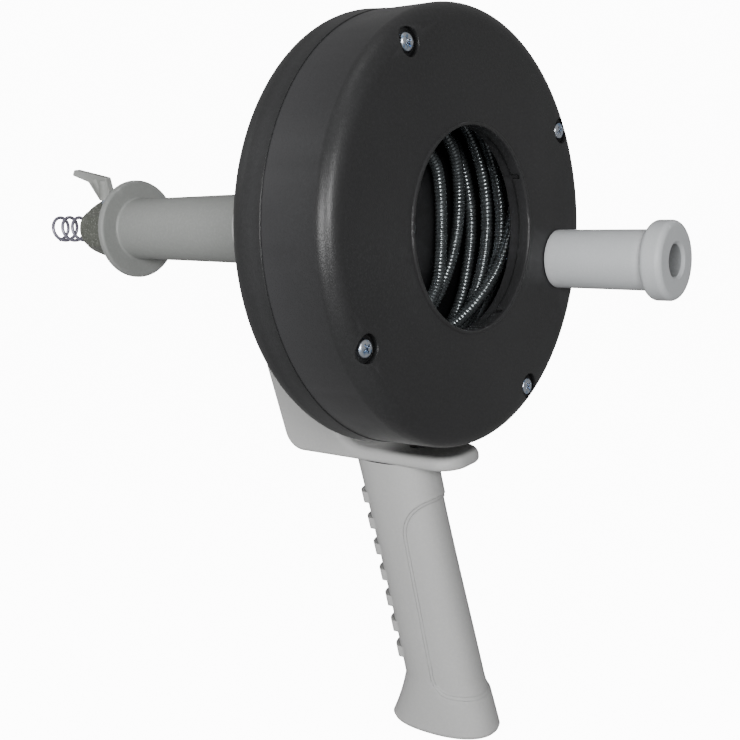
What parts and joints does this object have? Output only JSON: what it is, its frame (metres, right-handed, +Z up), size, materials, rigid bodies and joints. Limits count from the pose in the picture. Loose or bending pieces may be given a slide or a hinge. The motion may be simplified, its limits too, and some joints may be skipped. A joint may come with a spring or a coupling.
{
  "type": "drain snake machine",
  "caption": "Hand-cranked drum drain snake with pistol grip, front sleeve and guard, crank knob, cable clamp and open-coil head.",
  "frame": {"origin": "centre of the drum window, in the plane of the drum's rear face", "axes": "+X along the drum's spin axis, back towards the crank knob; the cable leaves along -X; +Z up; the grip hangs along -Z; the grip is symmetric about Y = 0"},
  "size_m": [0.3462, 0.193, 0.3365],
  "materials": {
    "handle_gray": "moulded, fine texture",
    "sleeve_gray": "moulded, fine texture",
    "drum_black": "moulded, fine spark texture",
    "knob_gray": "satin moulded",
    "lever_gray": "moulded",
    "nylon_white": "moulded nylon",
    "zinc_steel": "bright zinc plate",
    "dark_steel": "black oxide",
    "dark_zinc": "dull zinc casting",
    "cable_steel": "oiled music wire, close wound",
    "bulb_wire": "bright spring wire",
    "sintered_bronze": "sintered, oiled",
    "brass_pad": "turned"
  },
  "bodies": {
    "handle": {"bracket": "handle_gray", "grip": "handle_gray", "grip_screws": "dark_steel", "front_sleeve": "sleeve_gray", "rear_bush": "sintered_bronze", "front_bush": "sintered_bronze", "sleeve_set_screws": "dark_steel"},
    "drum": {"drum_rear_shell": "drum_black", "drum_front_shell": "drum_black", "drum_screws": "zinc_steel", "spindle_tube": "zinc_steel", "spindle_plate": "zinc_steel", "plate_rivets": "zinc_steel", "rear_thrust_washer": "nylon_white", "front_thrust_washer": "nylon_white", "nose_nut": "dark_zinc", "cable_coil": "cable_steel", "cable_lead": "cable_steel", "cable_tail": "cable_steel", "cable_anchor_clip": "zinc_steel", "cable_anchor_screw": "zinc_steel", "knob_axle_bolt": "dark_steel", "knob_axle_nut": "zinc_steel", "knob_axle_washer": "zinc_steel"},
    "crank_knob": {"knob_sleeve": "knob_gray", "knob_cap": "knob_gray"},
    "clamp_follower": {"clamp_pad": "brass_pad"},
    "thumb_screw": {"clamp_screw": "zinc_steel", "clamp_lever": "lever_gray"},
    "cable_end": {"cable_feed": "cable_steel", "bulb_ferrule": "zinc_steel", "bulb_head": "bulb_wire"}
  },
  "joints": [
    {"name": "drum_spin", "type": "hinge", "parent": "handle", "child": "drum", "pos_m": [0, 0, 0], "axis": [1, 0, 0], "continuous": true},
    {"name": "knob_spin", "type": "hinge", "parent": "drum", "child": "crank_knob", "pos_m": [0.025, 0.06936, -0.02307], "axis": [1, 0, 0], "continuous": true},
    {"name": "clamp_press", "type": "slide", "parent": "drum", "child": "clamp_follower", "axis": [0, 0, 1], "range_m": [0, 0.002]},
    {"name": "clamp_turn", "type": "hinge", "parent": "clamp_follower", "child": "thumb_screw", "pos_m": [-0.2395, 0, 0.015], "axis": [0, 0, 1], "range_deg": [0, 540]},
    {"name": "cable_feed", "type": "slide", "parent": "drum", "child": "cable_end", "axis": [-1, 0, 0], "range_m": [0, 0.06]}
  ],
  "couplings": [
    {"joint": "clamp_press", "follows": "clamp_turn", "m_per_rad": 0.00019894}
  ]
}
